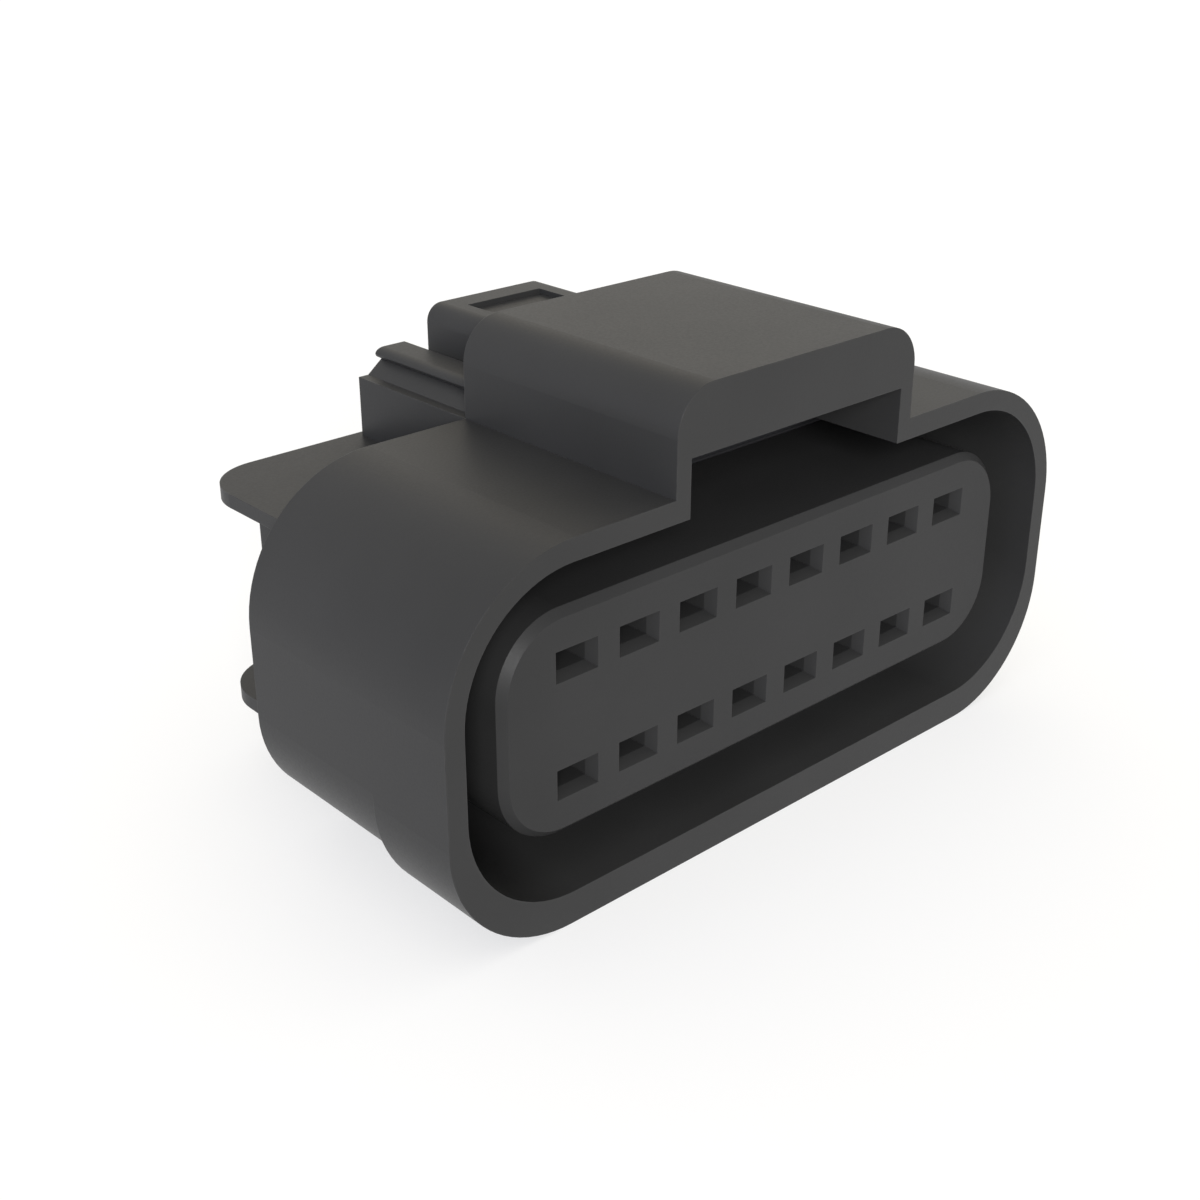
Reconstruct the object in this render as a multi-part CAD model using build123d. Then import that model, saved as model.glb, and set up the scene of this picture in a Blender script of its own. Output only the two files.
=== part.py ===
from build123d import *
import os

# Sixteen-way sealed connector housing for 1.5 mm blade contacts, in millimetres.
# X runs along the rows of slots, Y from the mating lip to the wire side, Z up.
# The origin is under the middle of the box that the whole housing fills.
# Depths are counted backwards from the mating lip, heights from the middle of the slot pattern.

# Slot pattern in the mating face
COLUMNS = 8
PITCH = 3.5
ROW_PITCH = 5.5
SLOT_WIDTH = 2.3
SLOT_HEIGHT = 1.44
LEAD_IN_INSET = 0.23
LEAD_IN_DEPTH = 0.58

# Front retainer: the slotted cap on the nose of the housing
FACE_DEPTH = 0.79
FACE_THICKNESS = 2.0
FACE_CHAMFER = 0.35
SIDE_MARGIN = 4.03
ROW_MARGIN = 2.5
NOSE_RADIUS = 3.3
SKIRT_WALL = 0.9
TONGUE_THICKNESS = 1.6
TONGUE_LENGTH = 5.0
RETAINER_TRAVEL = 1.2
RETAINER_CLEARANCE = 0.1

# Retainer snaps: a nub on each side of the cavity block, in a window of the skirt
SNAP_DEPTH = 5.6
SNAP_LENGTH = 1.0
SNAP_HEIGHT = 2.4
SNAP_RISE = 0.8

# Cavity block inside the retainer
CAVITY_WIDTH = 2.4
CAVITY_HEIGHT = 2.1
FINGER_WIDTH = 1.2
FINGER_LENGTH = 4.5
FINGER_SLIT = 0.4
FINGER_OVERLAP = 0.8
CATCH_RISE = 0.4
CATCH_FLAT = 0.3
CATCH_LENGTH = 1.2

# Shroud round the nose
GAP_SIDE = 2.41
GAP_TOP = 2.36
GAP_BOTTOM = 2.41
SHROUD_RADIUS = 5.6
SIDE_WALL = 0.98
TOP_WALL = 1.03
COLLAR_WALL = 1.58
COLLAR_LENGTH = 5.06
COLLAR_STEP = 1.19
REAR_FLOOR_WALL = 1.0
SHROUD_LENGTH = 13.74
REAR_WALL = 1.2
TOP_CORNER_RADIUS = 6.7
COLLAR_CORNER_RADIUS = 6.3
REAR_CORNER_RADIUS = 5.6

# Hood over the latch
HOOD_WIDTH = 15.1
HOOD_WALL = 0.83
HOOD_RISE = 4.64
HOOD_ROOF = 3.02
HOOD_RADIUS = 2.07

# Latch arm with its thumb pad, moulded in one with the shroud
ARM_WIDTH = 6.8
ARM_THICKNESS = 1.3
ARM_LIFT = 0.5
ARM_START = 6.6
HOOK_WIDTH = 5.2
HOOK_LENGTH = 1.2
HOOK_DROP = 1.0
HOOK_RAMP = 0.7
WEB_START = 9.6
WEB_LENGTH = 1.6
PAD_WIDTH = 7.7
PAD_FRONT_GAP = 0.5
PAD_REACH = 7.63
PAD_RISE = 3.12
PAD_RADIUS = 0.88
PAD_WALL = 1.1
PAD_ROOF = 1.6
RECESS_WIDTH = 4.66
RECESS_DEPTH = 0.28
RECESS_BORDER = 1.37

# Guard rails beside the thumb pad
RAIL_REACH = 8.46
RAIL_LEDGE = 0.56
RAIL_NECK = 1.40
RAIL_LIP_FOOT = 1.12
RAIL_LIP_TIP = 1.06
RAIL_CROWN = 1.61
RAIL_WIDTH = 2.85
RAIL_NECK_RISE = 0.66
RAIL_FOOT_RISE = 0.83
RAIL_TIP_RISE = 0.95
RAIL_TOP_RISE = 1.25
RAIL_WALL = 1.4
RAIL_FLANGE = 1.3

# Plates and pocket on the wire side
PLATE_MARGIN = 2.85
PLATE_THICKNESS = 0.7
PLATE_SIDE_MARGIN = 4.41
PLATE_REACH = 8.97
PLATE_RADIUS = 2.9
POCKET_MARGIN = 1.75
POCKET_WALL = 1.0
POCKET_REACH = 6.43
POCKET_RADIUS = 0.8
POCKET_WINDOW_LENGTH = 1.0
POCKET_WINDOW_HEIGHT = 3.0

# Seals and rear cover
SEAL_GAP = 0.15
SEAL_WIDTH = 3.4
SEAL_BASE = 1.0
SEAL_RIB_RISE = 0.65
SEAL_RIB_WIDTH = 1.0
SEAL_RIB_CHAMFER = 0.35
SEAL_RIBS = 2
MAT_THICKNESS = 4.0
MAT_CLEARANCE = 0.05
MAT_DIMPLE_INSET = 0.15
MAT_DIMPLE_DEPTH = 0.8
MAT_DIMPLE_TAPER = 0.58
COVER_THICKNESS = 2.1
COVER_CLEARANCE = 0.1
COVER_HOLE_MARGIN = 0.1
COVER_HOLE_CORNER = 0.4
COVER_HOLE_CHAMFER = 0.25
COVER_NUB_RISE = 0.6
COVER_NUB_CLEARANCE = 0.1

# Dependent sizes
ROW_REACH = (COLUMNS - 1) * PITCH / 2
NOSE_HALF_WIDTH = ROW_REACH + SIDE_MARGIN
NOSE_HALF_HEIGHT = ROW_PITCH / 2 + ROW_MARGIN
BLOCK_HALF_WIDTH = NOSE_HALF_WIDTH - SKIRT_WALL - RETAINER_CLEARANCE
FACE_BACK = FACE_DEPTH + FACE_THICKNESS
BLOCK_FRONT = FACE_BACK + RETAINER_CLEARANCE
TONGUE_HALF_WIDTH = ROW_REACH + CAVITY_WIDTH / 2
TONGUE_BACK = FACE_BACK + TONGUE_LENGTH
TONGUE_SLOT_HALF_HEIGHT = TONGUE_THICKNESS / 2 + RETAINER_CLEARANCE
FINGER_FRONT = TONGUE_BACK - FINGER_OVERLAP
FINGER_ROOT = FINGER_FRONT + FINGER_LENGTH
INNER_HALF_WIDTH = NOSE_HALF_WIDTH + GAP_SIDE
INNER_TOP = NOSE_HALF_HEIGHT + GAP_TOP
INNER_BOTTOM = -NOSE_HALF_HEIGHT - GAP_BOTTOM
OUTER_HALF_WIDTH = INNER_HALF_WIDTH + SIDE_WALL
OUTER_TOP = INNER_TOP + TOP_WALL
COLLAR_BOTTOM = INNER_BOTTOM - COLLAR_WALL
REAR_BOTTOM = COLLAR_BOTTOM + COLLAR_STEP
REAR_FLOOR = REAR_BOTTOM + REAR_FLOOR_WALL
HOOD_TOP = OUTER_TOP + HOOD_RISE
CHANNEL_TOP = HOOD_TOP - HOOD_ROOF
CHANNEL_HALF_WIDTH = HOOD_WIDTH / 2 - HOOD_WALL
ARM_BOTTOM = INNER_TOP + ARM_LIFT
ARM_TOP = ARM_BOTTOM + ARM_THICKNESS
PAD_TOP = OUTER_TOP + PAD_RISE
PAD_FRONT = SHROUD_LENGTH + PAD_FRONT_GAP
PAD_BACK = SHROUD_LENGTH + PAD_REACH
PLATE_TOP = ROW_PITCH / 2 + PLATE_MARGIN
PLATE_INSIDE = PLATE_TOP - PLATE_THICKNESS
PLATE_HALF_WIDTH = ROW_REACH + PLATE_SIDE_MARGIN
PLATE_BACK = SHROUD_LENGTH + PLATE_REACH
POCKET_HALF_WIDTH = ROW_REACH + POCKET_MARGIN
POCKET_BACK = SHROUD_LENGTH + POCKET_REACH
WELL_BACK = SHROUD_LENGTH - REAR_WALL
SEAL_BACK = WELL_BACK - SEAL_GAP
SEAL_START = SEAL_BACK - SEAL_WIDTH
SKIRT_BACK = SEAL_START - SEAL_GAP
MAT_BACK = SHROUD_LENGTH + MAT_THICKNESS
COVER_BACK = MAT_BACK + COVER_THICKNESS
COVER_HOLE_WIDTH = CAVITY_WIDTH + 2 * COVER_HOLE_MARGIN
COVER_HOLE_HEIGHT = CAVITY_HEIGHT + 2 * COVER_HOLE_MARGIN

LIP_Y = -PLATE_BACK / 2
AXIS_Z = -COLLAR_BOTTOM


def section(depth):
    """Upright plane across the housing at a depth behind the lip; sketches use X and height."""
    return Plane(origin=(0, LIP_Y + depth, AXIS_Z), x_dir=(1, 0, 0), z_dir=(0, -1, 0))


def run(sketch, front, back):
    """The sketch as a solid that runs from one depth to another."""
    return extrude(section(back) * sketch, back - front)


def block(half_width, bottom, top, front, back):
    """A square-edged block, centred on the middle plane."""
    sketch = Pos(0, (top + bottom) / 2) * Rectangle(2 * half_width, top - bottom)
    return run(sketch, front, back)


def side_block(inner, outer, bottom, top, front, back):
    """A square-edged block on the +X side and its mirror image."""
    sketch = Pos((inner + outer) / 2, (top + bottom) / 2) * Rectangle(outer - inner, top - bottom)
    right = run(sketch, front, back)
    return right + mirror(right, about=Plane.YZ)


def rounded(half_width, bottom, top, bottom_radius, top_radius):
    """A rounded rectangle with its own radius for the upper and the lower corners."""
    sketch = Pos(0, (top + bottom) / 2) * Rectangle(2 * half_width, top - bottom)
    sketch = fillet(sketch.vertices().group_by(Axis.Y)[-1], top_radius)
    return fillet(sketch.vertices().group_by(Axis.Y)[0], bottom_radius)


def slot_centres():
    """Centre of every slot, cavity and wire opening, as X and height."""
    centres = []
    for row in (-1, 1):
        for column in range(COLUMNS):
            centres.append((column * PITCH - ROW_REACH, row * ROW_PITCH / 2))
    return centres


def nose_outline(inset):
    """Outline of the nose, drawn in by an even inset."""
    radius = NOSE_RADIUS - inset
    half_height = NOSE_HALF_HEIGHT - inset
    return rounded(NOSE_HALF_WIDTH - inset, -half_height, half_height, radius, radius)


def tapered(width, height, length, inset):
    """A four-sided taper that runs back along Y and draws in by an even inset on every side."""
    return Wedge(
        width, length, height, inset, inset, width - inset, height - inset,
        align=(Align.CENTER, Align.MIN, Align.CENTER)
    )


# Front retainer

def slot_cutter(x, height):
    """A blade slot: a tapered mouth, then a straight throat through the face."""
    mouth = tapered(SLOT_WIDTH, SLOT_HEIGHT, LEAD_IN_DEPTH, LEAD_IN_INSET)
    throat_outline = Rectangle(SLOT_WIDTH - 2 * LEAD_IN_INSET, SLOT_HEIGHT - 2 * LEAD_IN_INSET)
    throat = run(Pos(x, height) * throat_outline, FACE_DEPTH + LEAD_IN_DEPTH, BLOCK_FRONT)
    return Pos(x, LIP_Y + FACE_DEPTH, AXIS_Z + height) * mouth + throat


def make_front_retainer():
    """The cap that slides over the cavity block and keeps the lock fingers from bending out."""
    cap = run(nose_outline(0), FACE_DEPTH, SKIRT_BACK)
    front_edges = cap.faces().sort_by(Axis.Y)[0].edges()
    cap = chamfer(front_edges, FACE_CHAMFER)
    cap -= run(nose_outline(SKIRT_WALL), FACE_BACK, SKIRT_BACK)
    tongue_top = TONGUE_THICKNESS / 2
    cap += block(TONGUE_HALF_WIDTH, -tongue_top, tongue_top, FACE_BACK, TONGUE_BACK)
    for x, height in slot_centres():
        cap -= slot_cutter(x, height)
    window_half_height = SNAP_HEIGHT / 2 + RETAINER_CLEARANCE
    window_front = SNAP_DEPTH - RETAINER_CLEARANCE
    window_back = SNAP_DEPTH + SNAP_LENGTH + RETAINER_TRAVEL + RETAINER_CLEARANCE
    cap -= side_block(
        BLOCK_HALF_WIDTH, NOSE_HALF_WIDTH,
        -window_half_height, window_half_height, window_front, window_back
    )
    return cap


# Housing

def make_shroud():
    """The outer wall with its thick front collar and a floor that rises towards the rear wall."""
    collar = rounded(OUTER_HALF_WIDTH, COLLAR_BOTTOM, OUTER_TOP, COLLAR_CORNER_RADIUS, TOP_CORNER_RADIUS)
    rear = rounded(OUTER_HALF_WIDTH, REAR_BOTTOM, OUTER_TOP, REAR_CORNER_RADIUS, TOP_CORNER_RADIUS)
    shell = run(collar, 0, COLLAR_LENGTH) + run(rear, COLLAR_LENGTH, SHROUD_LENGTH)
    mouth = rounded(INNER_HALF_WIDTH, INNER_BOTTOM, INNER_TOP, SHROUD_RADIUS, SHROUD_RADIUS)
    well = rounded(INNER_HALF_WIDTH, REAR_FLOOR, INNER_TOP, SHROUD_RADIUS, SHROUD_RADIUS)
    front = section(0) * mouth
    back = section(WELL_BACK) * well
    return shell - loft([front.face(), back.face()], ruled=True)


def make_hood():
    """The raised hood over the latch, square where it stands on the shroud."""
    sketch = Pos(0, (HOOD_TOP + INNER_TOP) / 2) * Rectangle(HOOD_WIDTH, HOOD_TOP - INNER_TOP)
    sketch = fillet(sketch.vertices().group_by(Axis.Y)[-1], HOOD_RADIUS)
    return run(sketch, 0, SHROUD_LENGTH)


def make_cavity_block():
    """The block that holds the contacts, with a nub on each side for the retainer."""
    inset = SKIRT_WALL + RETAINER_CLEARANCE
    body = run(nose_outline(inset), BLOCK_FRONT, SHROUD_LENGTH)
    body -= block(
        TONGUE_HALF_WIDTH + RETAINER_CLEARANCE,
        -TONGUE_SLOT_HALF_HEIGHT, TONGUE_SLOT_HALF_HEIGHT, BLOCK_FRONT, FINGER_ROOT
    )
    nub_half_height = SNAP_HEIGHT / 2
    body += side_block(
        BLOCK_HALF_WIDTH - SNAP_RISE, BLOCK_HALF_WIDTH + SNAP_RISE,
        -nub_half_height, nub_half_height, SNAP_DEPTH, SNAP_DEPTH + SNAP_LENGTH
    )
    return body


def cavity_cutter():
    """A contact cavity of the upper row on the middle plane, with the slit round its lock finger."""
    floor = (ROW_PITCH - CAVITY_HEIGHT) / 2
    cavity = block(CAVITY_WIDTH / 2, floor, floor + CAVITY_HEIGHT, BLOCK_FRONT, SHROUD_LENGTH)
    catch_front = LIP_Y + FINGER_FRONT
    catch_foot = AXIS_Z + floor
    catch_outline = Polyline(
        (catch_front, catch_foot),
        (catch_front, catch_foot + CATCH_RISE),
        (catch_front + CATCH_FLAT, catch_foot + CATCH_RISE),
        (catch_front + CATCH_LENGTH, catch_foot),
        close=True,
    )
    catch = extrude(Plane.YZ * make_face(catch_outline), FINGER_WIDTH / 2, both=True)
    slit_half_width = FINGER_WIDTH / 2 + FINGER_SLIT
    slit = block(slit_half_width, 0, floor, FINGER_FRONT - FINGER_SLIT, FINGER_ROOT)
    slit -= block(FINGER_WIDTH / 2, 0, floor, FINGER_FRONT, FINGER_ROOT)
    return cavity - catch + slit


def make_latch():
    """The rocking latch: an arm on two webs, a hook in front and a thumb pad behind the hood."""
    arm = block(ARM_WIDTH / 2, ARM_BOTTOM, ARM_TOP, ARM_START, PAD_BACK)
    hook = block(HOOK_WIDTH / 2, ARM_BOTTOM - HOOK_DROP, ARM_BOTTOM, ARM_START, ARM_START + HOOK_LENGTH)
    ramp_edge = hook.edges().filter_by(Axis.X).group_by(Axis.Z)[0].sort_by(Axis.Y)[0]
    hook = chamfer(ramp_edge, HOOK_RAMP)
    web = side_block(
        ARM_WIDTH / 2, CHANNEL_HALF_WIDTH, ARM_BOTTOM, ARM_TOP, WEB_START, WEB_START + WEB_LENGTH
    )
    pad = block(PAD_WIDTH / 2, ARM_BOTTOM, PAD_TOP, PAD_FRONT, PAD_BACK)
    pad = fillet(pad.edges().filter_by(Axis.Y).group_by(Axis.Z)[-1], PAD_RADIUS)
    latch = arm + hook + web + pad
    latch -= block(
        PAD_WIDTH / 2 - PAD_WALL, ARM_BOTTOM, PAD_TOP - PAD_ROOF, PAD_FRONT + PAD_WALL, PAD_BACK - PAD_WALL
    )
    latch -= block(
        RECESS_WIDTH / 2, PAD_TOP - RECESS_DEPTH, PAD_TOP, PAD_FRONT + RECESS_BORDER, PAD_BACK - RECESS_BORDER
    )
    return latch


def make_rails():
    """A guard rail each side of the pad: upright wall, ledge, slope and a crown with a round lip."""
    outside = HOOD_WIDTH / 2
    lip_centre = (outside - RAIL_CROWN, OUTER_TOP + RAIL_TIP_RISE)
    lip_width = RAIL_CROWN - RAIL_LIP_TIP
    lip_height = RAIL_TOP_RISE - RAIL_TIP_RISE
    lip = EllipticalCenterArc(lip_centre, lip_width, lip_height, arc_size=90)
    flange_foot = OUTER_TOP + RAIL_TOP_RISE - RAIL_FLANGE
    rest = Polyline(
        lip @ 1,
        (outside - RAIL_WIDTH, OUTER_TOP + RAIL_TOP_RISE),
        (outside - RAIL_WIDTH, flange_foot),
        (outside - RAIL_WALL, flange_foot),
        (outside - RAIL_WALL, PLATE_INSIDE),
        (outside, PLATE_INSIDE),
        (outside, OUTER_TOP),
        (outside - RAIL_LEDGE, OUTER_TOP),
        (outside - RAIL_NECK, OUTER_TOP + RAIL_NECK_RISE),
        (outside - RAIL_LIP_FOOT, OUTER_TOP + RAIL_FOOT_RISE),
        lip @ 0,
    )
    outline = make_face(Curve() + [lip, rest])
    right = run(outline, SHROUD_LENGTH, SHROUD_LENGTH + RAIL_REACH)
    return right + mirror(right, about=Plane.YZ)


def make_plate(bottom, top):
    """One of the two thin plates that reach back over and under the wire side."""
    plate = block(PLATE_HALF_WIDTH, bottom, top, SHROUD_LENGTH, PLATE_BACK)
    return fillet(plate.edges().filter_by(Axis.Z).group_by(Axis.Y)[-1], PLATE_RADIUS)


def make_pocket_walls():
    """The side walls of the seal pocket between the plates, with a window for the cover's nub."""
    outside = POCKET_HALF_WIDTH + POCKET_WALL
    walls = side_block(
        POCKET_HALF_WIDTH, outside, -PLATE_INSIDE, PLATE_INSIDE, SHROUD_LENGTH, POCKET_BACK
    )
    window_front = MAT_BACK + (COVER_THICKNESS - POCKET_WINDOW_LENGTH) / 2
    walls -= side_block(
        POCKET_HALF_WIDTH, outside, -POCKET_WINDOW_HEIGHT / 2, POCKET_WINDOW_HEIGHT / 2,
        window_front, window_front + POCKET_WINDOW_LENGTH
    )
    return walls


def make_housing():
    """Shroud, hood, latch, rails, plates and cavity block: one moulding."""
    housing = make_shroud() + make_hood()
    housing -= block(CHANNEL_HALF_WIDTH, INNER_TOP, CHANNEL_TOP, 0, SHROUD_LENGTH)
    housing += make_cavity_block()
    housing += make_plate(PLATE_INSIDE, PLATE_TOP)
    housing += make_plate(-PLATE_TOP, -PLATE_INSIDE)
    housing += make_pocket_walls()
    housing += make_rails()
    housing += make_latch()
    upper = cavity_cutter()
    lower = mirror(upper, about=Plane.XY.offset(AXIS_Z))
    for x, height in slot_centres():
        housing -= Pos(x, 0, 0) * (upper if height > 0 else lower)
    return housing


# Seals and cover

def make_interface_seal():
    """The ribbed ring round the cavity block, held from the front by the retainer's skirt."""
    inset = SKIRT_WALL + RETAINER_CLEARANCE
    ring = run(nose_outline(inset - SEAL_BASE), SEAL_START, SEAL_BACK)
    spacing = SEAL_WIDTH / SEAL_RIBS
    for rib in range(SEAL_RIBS):
        rib_front = SEAL_START + rib * spacing + (spacing - SEAL_RIB_WIDTH) / 2
        bead = run(nose_outline(inset - SEAL_BASE - SEAL_RIB_RISE), rib_front, rib_front + SEAL_RIB_WIDTH)
        rims = bead.faces().sort_by(Axis.Y)[0].edges() + bead.faces().sort_by(Axis.Y)[-1].edges()
        ring += chamfer(rims, SEAL_RIB_CHAMFER)
    return ring - run(nose_outline(inset), SEAL_START, SEAL_BACK)


def pocket_outline(clearance):
    """Outline of what fits into the seal pocket."""
    half_height = PLATE_INSIDE - clearance
    return rounded(POCKET_HALF_WIDTH - clearance, -half_height, half_height, POCKET_RADIUS, POCKET_RADIUS)


def make_wire_seal():
    """The mat seal: one soft slab with a dimple over each closed membrane, where the wire goes in."""
    mat = run(pocket_outline(MAT_CLEARANCE), SHROUD_LENGTH, MAT_BACK)
    mouth_width = CAVITY_WIDTH - 2 * MAT_DIMPLE_INSET
    mouth_height = CAVITY_HEIGHT - 2 * MAT_DIMPLE_INSET
    dimple = tapered(mouth_width, mouth_height, MAT_DIMPLE_DEPTH, MAT_DIMPLE_TAPER)
    for x, height in slot_centres():
        mat -= Pos(x, LIP_Y + SHROUD_LENGTH, AXIS_Z + height) * dimple
        mat -= Pos(x, LIP_Y + MAT_BACK, AXIS_Z + height) * Rot(0, 0, 180) * dimple
    return mat


def make_rear_cover():
    """The cover that keeps the mat seal in its pocket and guides the wires."""
    cover = run(pocket_outline(COVER_CLEARANCE), MAT_BACK, COVER_BACK)
    nub_length = POCKET_WINDOW_LENGTH - 2 * COVER_NUB_CLEARANCE
    nub_front = MAT_BACK + (COVER_THICKNESS - nub_length) / 2
    nub_half_height = POCKET_WINDOW_HEIGHT / 2 - COVER_NUB_CLEARANCE
    nub_root = POCKET_HALF_WIDTH - COVER_CLEARANCE
    cover += side_block(
        nub_root - COVER_NUB_RISE, nub_root + COVER_NUB_RISE, -nub_half_height, nub_half_height,
        nub_front, nub_front + nub_length
    )
    opening = Rectangle(COVER_HOLE_WIDTH, COVER_HOLE_HEIGHT)
    opening = chamfer(opening.vertices(), COVER_HOLE_CORNER)
    for x, height in slot_centres():
        cover -= run(Pos(x, height) * opening, MAT_BACK, COVER_BACK)
    rims = cover.faces().sort_by(Axis.Y)[-1].inner_wires().edges()
    return chamfer(rims, COVER_HOLE_CHAMFER)


parts = {
    "housing": make_housing(),
    "front_retainer": make_front_retainer(),
    "interface_seal": make_interface_seal(),
    "wire_seal": make_wire_seal(),
    "rear_cover": make_rear_cover(),
}

os.makedirs("parts", exist_ok=True)
for name, shape in parts.items():
    shape.label = name
    export_step(shape, os.path.join("parts", name + ".step"))
    box = shape.bounding_box()
    print(name, len(shape.solids()), "solids", round(shape.volume, 1), "mm3", box.min, box.max)
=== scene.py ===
import math

import bpy
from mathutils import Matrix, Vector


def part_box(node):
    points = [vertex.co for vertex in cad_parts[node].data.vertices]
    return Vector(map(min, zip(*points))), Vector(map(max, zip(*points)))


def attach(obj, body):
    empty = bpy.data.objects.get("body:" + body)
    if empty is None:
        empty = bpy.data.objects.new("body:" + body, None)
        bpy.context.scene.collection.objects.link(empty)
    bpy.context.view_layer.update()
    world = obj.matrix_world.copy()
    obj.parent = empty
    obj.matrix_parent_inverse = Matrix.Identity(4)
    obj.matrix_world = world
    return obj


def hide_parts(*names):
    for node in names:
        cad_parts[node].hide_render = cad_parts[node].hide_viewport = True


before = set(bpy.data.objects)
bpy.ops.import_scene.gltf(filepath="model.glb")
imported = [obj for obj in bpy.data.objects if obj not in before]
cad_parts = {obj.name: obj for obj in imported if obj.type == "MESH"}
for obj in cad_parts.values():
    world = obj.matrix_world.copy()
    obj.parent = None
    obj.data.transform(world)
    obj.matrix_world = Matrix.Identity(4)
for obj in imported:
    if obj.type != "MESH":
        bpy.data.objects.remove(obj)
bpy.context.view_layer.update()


# Housing. The shroud, hood, latch, rails, plates and cavity block are one moulding of
# black glass-filled polyester. The mould was spark-eroded, so every face has the same
# fine, dull grain, and the outer edges are rubbed a little smoother by handling.

DRIFT_SIZE = 0.006
DRIFT_DARK = 0.94
DRIFT_PALE = 1.06
DRIFT_GLOSS = 0.02
GRAIN_GLOSS = 0.03
RUB_SIZE = 0.0009
RUB_LEAST = 0.15
RUB_PALE = 1.25
RUB_POLISH = 0.08
EDGE_SAMPLES = 8


def combined(tree, operation, first, second):
    """One step of arithmetic on two values; the second may be a plain number."""
    node = tree.nodes.new("ShaderNodeMath")
    node.operation = operation
    tree.links.new(first, node.inputs[0])
    if isinstance(second, float):
        node.inputs[1].default_value = second
    else:
        tree.links.new(second, node.inputs[1])
    return node.outputs["Value"]


def ranged(tree, value, low, high, from_low, from_high):
    """A value stretched from one range to another, and held inside it."""
    node = tree.nodes.new("ShaderNodeMapRange")
    node.inputs["From Min"].default_value = from_low
    node.inputs["From Max"].default_value = from_high
    node.inputs["To Min"].default_value = low
    node.inputs["To Max"].default_value = high
    tree.links.new(value, node.inputs["Value"])
    return node.outputs["Result"]


def mixed(tree, kind, factor, first, second):
    """A blend of two colours or vectors, each from a node or, for a colour, written out."""
    node = tree.nodes.new("ShaderNodeMix")
    node.data_type = kind
    sockets = [socket for socket in node.inputs if socket.enabled]
    tree.links.new(factor, sockets[0])
    for socket, value in zip(sockets[1:], (first, second)):
        if isinstance(value, tuple):
            socket.default_value = value
        else:
            tree.links.new(value, socket)
    return next(socket for socket in node.outputs if socket.enabled)


def moulded(name, colour, roughness, ior, grain_size, grain_height, edge_radius):
    """The finish of a moulded face: an even colour, mould grain, slow drift and rubbed edges."""
    material = bpy.data.materials.new(name)
    material.use_nodes = True
    tree = material.node_tree
    shader = tree.nodes["Principled BSDF"]
    shader.inputs["IOR"].default_value = ior
    place = tree.nodes.new("ShaderNodeTexCoord").outputs["Object"]

    def noise(size, detail):
        node = tree.nodes.new("ShaderNodeTexNoise")
        node.inputs["Scale"].default_value = 1 / size
        node.inputs["Detail"].default_value = detail
        tree.links.new(place, node.inputs["Vector"])
        return node.outputs["Fac"]

    def by_noise(value, low, high):
        return ranged(tree, value, low, high, from_low=0.3, from_high=0.7)

    def shade(factor):
        return (*[channel * factor for channel in colour], 1)

    # Slow drift where the melt cooled faster or slower, and the grain of the mould.
    drift = noise(DRIFT_SIZE, detail=2)
    grain = noise(grain_size, detail=3)

    # Outer edges only: from inside the plastic, the next face is close by there.
    inside = tree.nodes.new("ShaderNodeAmbientOcclusion")
    inside.inside = True
    inside.only_local = True
    inside.samples = EDGE_SAMPLES
    inside.inputs["Distance"].default_value = 2 * edge_radius
    near_edge = ranged(tree, inside.outputs["AO"], 1, 0, from_low=0.6, from_high=0.95)
    rounded = tree.nodes.new("ShaderNodeBevel")
    rounded.samples = EDGE_SAMPLES
    rounded.inputs["Radius"].default_value = edge_radius
    flat = tree.nodes.new("ShaderNodeNewGeometry")
    normal = mixed(tree, "VECTOR", near_edge, flat.outputs["Normal"], rounded.outputs["Normal"])

    # Where hands and the mating half rub, the edge is paler and smoother, in patches.
    patches = ranged(tree, noise(RUB_SIZE, detail=3), RUB_LEAST, 1, from_low=0.42, from_high=0.62)
    rubbed = combined(tree, "MULTIPLY", near_edge, patches)

    tone = mixed(tree, "RGBA", by_noise(drift, 0, 1), shade(DRIFT_DARK), shade(DRIFT_PALE))
    worn = mixed(tree, "RGBA", rubbed, tone, shade(RUB_PALE))
    tree.links.new(worn, shader.inputs["Base Color"])

    dullness = by_noise(drift, roughness - DRIFT_GLOSS, roughness + DRIFT_GLOSS)
    dullness = combined(tree, "ADD", dullness, by_noise(grain, -GRAIN_GLOSS, GRAIN_GLOSS))
    polish = ranged(tree, rubbed, 0, RUB_POLISH, from_low=0, from_high=1)
    dullness = combined(tree, "SUBTRACT", dullness, polish)
    tree.links.new(dullness, shader.inputs["Roughness"])

    bump = tree.nodes.new("ShaderNodeBump")
    bump.inputs["Distance"].default_value = grain_height
    bump.inputs["Strength"].default_value = 1.0
    tree.links.new(grain, bump.inputs["Height"])
    tree.links.new(normal, bump.inputs["Normal"])
    tree.links.new(bump.outputs["Normal"], shader.inputs["Normal"])
    return material


def finish_node(name, material):
    """Gives the piece of this name its material."""
    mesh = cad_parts[name].data
    mesh.materials.clear()
    mesh.materials.append(material)


finish_node("housing", moulded(
    "moulded_housing", colour=(0.0275, 0.0275, 0.0275), roughness=0.45, ior=1.26,
    grain_size=0.00012, grain_height=0.000003, edge_radius=0.00004,
))


# Front retainer. The cap with the sixteen tapered slots is a second moulding of the same
# polyester, with a finer and duller grain than the shroud, and slides on the cavity block.

finish_node("front_retainer", moulded(
    "moulded_retainer", colour=(0.0250, 0.0250, 0.0252), roughness=0.50, ior=1.26,
    grain_size=0.00010, grain_height=0.000002, edge_radius=0.00004,
))


# Rear cover. A plain moulded lid that snaps into the pocket between the plates and keeps
# the mat seal in.

finish_node("rear_cover", moulded(
    "moulded_cover", colour=(0.0280, 0.0280, 0.0280), roughness=0.48, ior=1.26,
    grain_size=0.00012, grain_height=0.000003, edge_radius=0.00004,
))


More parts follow.
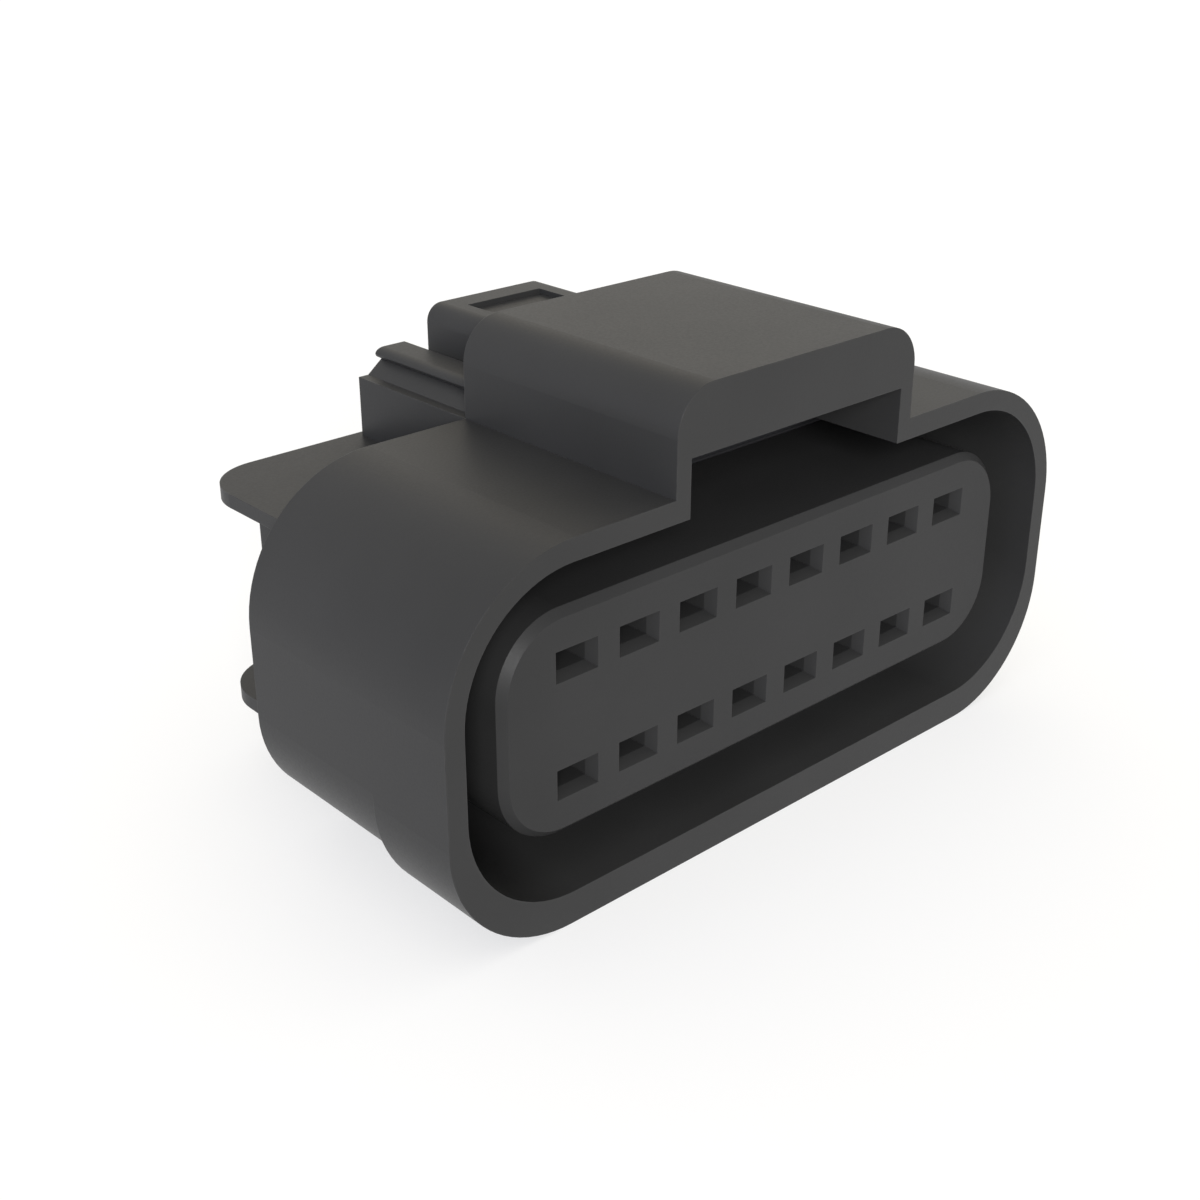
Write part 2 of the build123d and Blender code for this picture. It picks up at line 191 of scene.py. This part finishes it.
# Mat seal. The slab of dark grey silicone behind the cover, with a dimple over a thin
# closed membrane for each wire.

silicone = moulded(
    "moulded_silicone", colour=(0.034, 0.034, 0.037), roughness=0.6, ior=1.4,
    grain_size=0.00008, grain_height=0.000002, edge_radius=0.00015,
)
finish_node("wire_seal", silicone)


# Interface seal. The ring stretched round the cavity block, moulded from the same silicone,
# with two round ribs that the mating half squeezes and a soft radius at every edge.

RING_BASE = 0.0010
RING_EDGE = 0.0002
INNER_CORNER = 0.0023
RIB_COUNT = 2
RIB_RISE = 0.00065
RIB_ROUND = 0.0005
CORNER_STEPS = 14
ROUND_STEPS = 6
CREASE = 40
(ring_left, ring_front, ring_bottom), (ring_right, ring_back, ring_top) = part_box("interface_seal")


def arc(centre, radius, start, end, steps):
    """Points on a circle between two angles in degrees, both ends included."""
    points = []
    for step in range(steps + 1):
        angle = math.radians(start + (end - start) * step / steps)
        points.append((centre[0] + radius * math.cos(angle), centre[1] + radius * math.sin(angle)))
    return points


# Once across the ring, from the inner front edge over the ribs to the inner back edge: the
# height above the block first, then the place along the block.
foot_round = RIB_RISE - RIB_ROUND
foot_height = RING_BASE + foot_round
foot_reach = RIB_ROUND + foot_round
edge_height = RING_BASE - RING_EDGE
rib_step = (ring_back - ring_front) / RIB_COUNT
profile = [(0, ring_front)]
profile += arc((edge_height, ring_front + RING_EDGE), RING_EDGE, -90, 0, ROUND_STEPS)
for rib in range(RIB_COUNT):
    middle = ring_front + rib * rib_step + rib_step / 2
    profile += arc((foot_height, middle - foot_reach), foot_round, 180, 90, ROUND_STEPS)
    profile += arc((foot_height, middle), RIB_ROUND, -90, 90, 2 * ROUND_STEPS)[1:]
    profile += arc((foot_height, middle + foot_reach), foot_round, 270, 180, ROUND_STEPS)[1:]
profile += arc((edge_height, ring_back - RING_EDGE), RING_EDGE, 0, 90, ROUND_STEPS)
profile += [(0, ring_back)]

inner_half_width = (ring_right - ring_left) / 2 - RING_BASE - RIB_RISE
inner_half_height = (ring_top - ring_bottom) / 2 - RING_BASE - RIB_RISE
ring_middle = (ring_top + ring_bottom) / 2
ring_points = []
for quarter, (side, up) in enumerate(((1, 1), (-1, 1), (-1, -1), (1, -1))):
    corner_x = side * (inner_half_width - INNER_CORNER)
    corner_z = ring_middle + up * (inner_half_height - INNER_CORNER)
    for step in range(CORNER_STEPS + 1):
        angle = math.radians(90 * (quarter + step / CORNER_STEPS))
        for height, depth in profile:
            out_x = (INNER_CORNER + height) * math.cos(angle)
            out_z = (INNER_CORNER + height) * math.sin(angle)
            ring_points.append((corner_x + out_x, depth, corner_z + out_z))

ring_faces = []
across = len(profile)
for here in range(0, len(ring_points), across):
    there = (here + across) % len(ring_points)
    for point in range(across):
        beside = (point + 1) % across
        ring_faces.append((here + point, here + beside, there + beside, there + point))

ring_mesh = bpy.data.meshes.new("interface_seal_ribbed")
ring_mesh.from_pydata(ring_points, [], ring_faces)
ring_mesh.shade_smooth()
ring_mesh.set_sharp_from_angle(angle=math.radians(CREASE))
ring_mesh.materials.append(silicone)
ring = bpy.data.objects.new("interface_seal_ribbed", ring_mesh)
bpy.context.scene.collection.objects.link(ring)
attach(ring, "shell")
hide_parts("interface_seal")


# Floor. A wide sheet of white board under the housing. Seen straight, half of what it shows
# is its own white and half is the light on it, and in the gloss of the plastic it is white.

FLOOR_HALF = 3.0
FLOOR_GAP = 0.00002
OWN_WHITE = 0.5
WHITE = (1.0, 1.0, 1.0, 1)
floor_mesh = bpy.data.meshes.new("floor")
floor_mesh.from_pydata(
    [(-FLOOR_HALF, -FLOOR_HALF, -FLOOR_GAP), (FLOOR_HALF, -FLOOR_HALF, -FLOOR_GAP),
     (FLOOR_HALF, FLOOR_HALF, -FLOOR_GAP), (-FLOOR_HALF, FLOOR_HALF, -FLOOR_GAP)],
    [], [(0, 1, 2, 3)],
)
floor = bpy.data.objects.new("floor", floor_mesh)
bpy.context.scene.collection.objects.link(floor)


def looked_at(tree, straight):
    """1 for a ray in gloss or glass, a chosen share for one straight from the eye, 0 for the rest."""
    ray = tree.nodes.new("ShaderNodeLightPath").outputs
    seen = combined(tree, "MULTIPLY", ray["Is Camera Ray"], straight)
    for kind in ("Is Glossy Ray", "Is Transmission Ray"):
        seen = combined(tree, "MAXIMUM", seen, ray[kind])
    return seen


board = bpy.data.materials.new("white_board")
board.use_nodes = True
board_tree = board.node_tree
paper = board_tree.nodes["Principled BSDF"]
paper.inputs["Base Color"].default_value = WHITE
paper.inputs["Roughness"].default_value = 1.0
paper.inputs["Specular IOR Level"].default_value = 0.0
white = board_tree.nodes.new("ShaderNodeEmission")
face = board_tree.nodes.new("ShaderNodeMixShader")
board_tree.links.new(looked_at(board_tree, OWN_WHITE), face.inputs["Fac"])
board_tree.links.new(paper.outputs["BSDF"], face.inputs[1])
board_tree.links.new(white.outputs["Emission"], face.inputs[2])
board_tree.links.new(face.outputs["Shader"], board_tree.nodes["Material Output"].inputs["Surface"])
floor_mesh.materials.append(board)


# Light. A white tent, brighter and warmer overhead, a broad soft lamp near the eye that reaches
# into the shroud and the latch channel, a weak warm lamp behind that glances off the top faces,
# and a weak blue one from the left, like light from a window.

TENT_LEVEL = 0.60
TENT_COOL = (0.70, 0.70, 0.82, 1)
TENT_WARM = (1.35, 1.32, 1.20, 1)
OVERHEAD = (0.25, 0.35, 0.90)
world = bpy.data.worlds.new("light_tent")
bpy.context.scene.world = world
world.use_nodes = True
tent_tree = world.node_tree
tent = tent_tree.nodes["Background"]
seen = looked_at(tent_tree, 1.0)
level = ranged(tent_tree, seen, TENT_LEVEL, 1, from_low=0, from_high=1)
tent_tree.links.new(level, tent.inputs["Strength"])

towards = tent_tree.nodes.new("ShaderNodeVectorMath")
towards.operation = "DOT_PRODUCT"
towards.inputs[1].default_value = OVERHEAD
tent_tree.links.new(tent_tree.nodes.new("ShaderNodeTexCoord").outputs["Generated"], towards.inputs[0])
warmth = ranged(tent_tree, towards.outputs["Value"], 0, 1, from_low=-1, from_high=1)
tint = mixed(tent_tree, "RGBA", warmth, TENT_COOL, TENT_WARM)
tent_tree.links.new(mixed(tent_tree, "RGBA", seen, tint, WHITE), tent.inputs["Color"])


def lamp(name, level, colour, spread, azimuth, elevation):
    """A far, broad lamp; an azimuth of 0 shines along +Y, and all its angles are in degrees."""
    sun = bpy.data.lights.new(name, "SUN")
    sun.energy = level
    sun.color = colour
    sun.angle = math.radians(spread)
    holder = bpy.data.objects.new(name, sun)
    holder.rotation_euler = (math.radians(90 - elevation), 0, math.radians(azimuth))
    bpy.context.scene.collection.objects.link(holder)


lamp("fill", level=3.2, colour=(1.0, 1.0, 1.0), spread=24, azimuth=-38, elevation=21)
lamp("glow", level=0.085, colour=(1.0, 0.66, 0.0), spread=40, azimuth=138, elevation=35)
lamp("sky", level=0.4, colour=(0.1, 0.25, 1.0), spread=60, azimuth=-90, elevation=12)


# Camera, at the height and distance from which the photograph was drawn, with a plain lens
# and no shift. The lengths of lens and film are in millimetres, all else in metres.

EYE = (-0.052036, -0.055472, 0.042990)
AZIMUTH = -42.41392
ELEVATION = 25.26194
LENS_LENGTH = 50
FILM_WIDTH = 36
NEAREST = 0.005
FARTHEST = 20
lens = bpy.data.cameras.new("camera")
lens.lens = LENS_LENGTH
lens.sensor_width = FILM_WIDTH
lens.clip_start = NEAREST
lens.clip_end = FARTHEST
camera = bpy.data.objects.new("camera", lens)
camera.location = EYE
camera.rotation_euler = (math.radians(90 - ELEVATION), 0, math.radians(AZIMUTH))
bpy.context.scene.collection.objects.link(camera)
bpy.context.scene.camera = camera
bpy.context.scene.view_settings.view_transform = "Standard"
